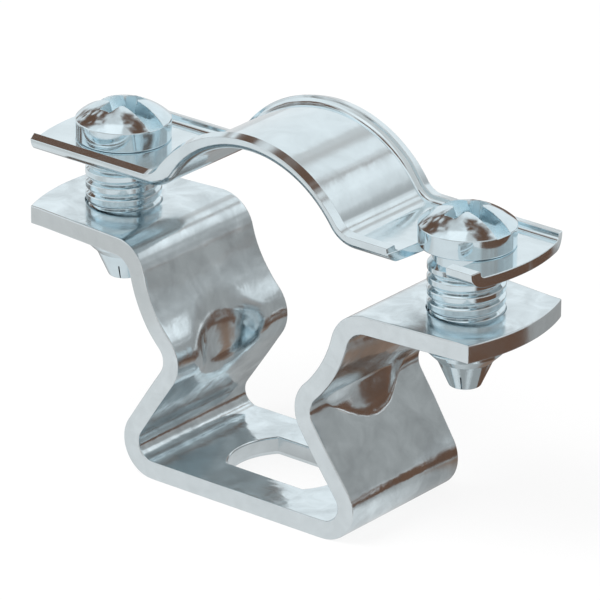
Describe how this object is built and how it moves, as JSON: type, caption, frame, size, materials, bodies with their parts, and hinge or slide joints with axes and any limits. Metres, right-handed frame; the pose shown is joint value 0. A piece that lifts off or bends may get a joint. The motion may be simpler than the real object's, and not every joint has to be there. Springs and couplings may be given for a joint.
{
  "type": "saddle clamp",
  "caption": "Folded steel saddle with a hole in its base and a channel-shaped cap held by captive pan-head screws, clamping a pipe or conduit of about 19 mm.",
  "frame": {"origin": "centre of the base's underside, where the clamp stands on its rail or wall", "axes": "+X along the clamp, across the pipe, towards the screw in the cap's open slot; +Y along the pipe; +Z from the base towards the cap, along both screws"},
  "size_m": [0.045, 0.0136, 0.0303],
  "materials": {
    "galvanised_strip": "zinc plated, satin with a soft mottle",
    "zinc_strap": "bright zinc plate with rolling marks",
    "zinc_screw": "glossy blue-bright zinc plate"
  },
  "bodies": {
    "saddle": {"saddle": "galvanised_strip"},
    "cap": {"cap": "zinc_strap"},
    "left_screw": {"left_screw": "zinc_screw"},
    "right_screw": {"right_screw": "zinc_screw"}
  },
  "joints": [
    {"name": "cap_travel", "type": "slide", "parent": "saddle", "child": "cap", "axis": [0, 0, 1], "range_m": [-0.0043, 0.0022]},
    {"name": "left_screw_turn", "type": "hinge", "parent": "cap", "child": "left_screw", "pos_m": [-0.0168, 0, 0.02445], "axis": [0, 0, 1], "range_deg": [-1548.5, 792.5]},
    {"name": "right_screw_turn", "type": "hinge", "parent": "cap", "child": "right_screw", "pos_m": [0.0168, 0, 0.02445], "axis": [0, 0, 1], "range_deg": [-1548.5, 792.5]}
  ],
  "couplings": [
    {"joint": "left_screw_turn", "follows": "cap_travel", "rad_per_m": 6283.2},
    {"joint": "right_screw_turn", "follows": "cap_travel", "rad_per_m": 6283.2}
  ]
}
